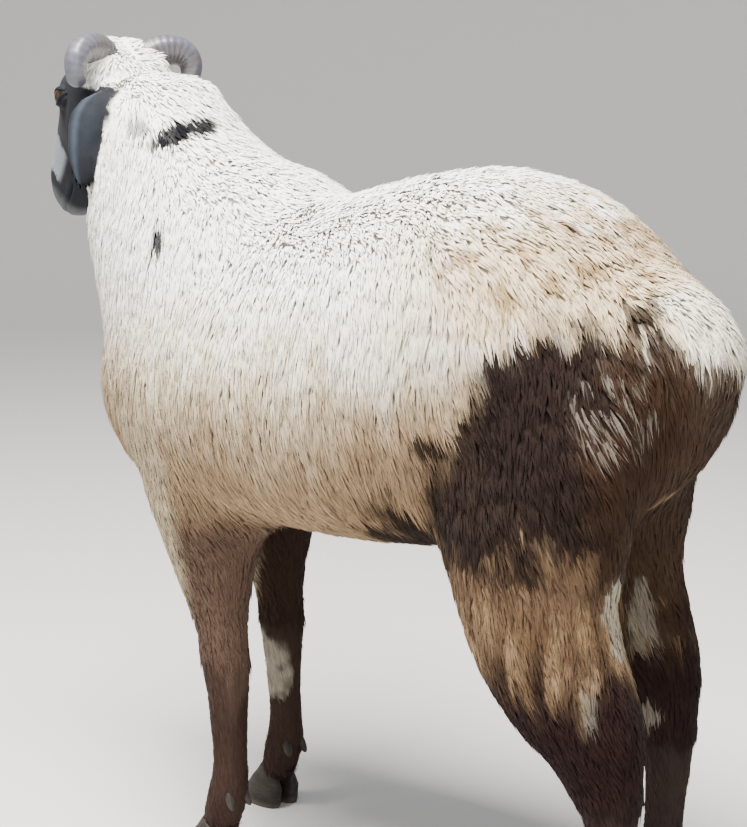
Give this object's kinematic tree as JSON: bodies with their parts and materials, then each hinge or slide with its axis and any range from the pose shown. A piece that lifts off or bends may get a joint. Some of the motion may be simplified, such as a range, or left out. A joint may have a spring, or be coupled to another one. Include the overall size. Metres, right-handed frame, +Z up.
{
  "type": "sheep",
  "caption": "Standing young horned sheep in short fluffy fleece with dark drooping ears, a life-size museum model in one solid pose.",
  "frame": {"origin": "on the floor, under the middle of the whole animal's box", "axes": "+Z up, -Y ahead to the nose, +X to the sheep's left"},
  "size_m": [0.3508, 0.933, 0.8251],
  "materials": {
    "fleece": "matt, soft cream-white wool with brown staining",
    "dark_hair": "short black hair with a slight sheen",
    "horn": "grey ridged horn, satin",
    "hoof": "dark worn hoof horn",
    "eye": "wet glossy eye"
  },
  "bodies": {
    "root": {"trunk": "fleece", "neck": "fleece", "head": "fleece", "tail": "fleece", "leg_front_left": "fleece", "leg_front_right": "fleece", "leg_hind_left": "fleece", "leg_hind_right": "fleece", "ear_left": "dark_hair", "eye_left": "eye", "horn_left": "horn", "ear_right": "dark_hair", "eye_right": "eye", "horn_right": "horn", "claw_front_left_outer": "hoof", "claw_front_left_inner": "hoof", "claw_front_right_outer": "hoof", "claw_front_right_inner": "hoof", "claw_hind_left_outer": "hoof", "claw_hind_left_inner": "hoof", "claw_hind_right_outer": "hoof", "claw_hind_right_inner": "hoof"}
  },
  "joints": []
}
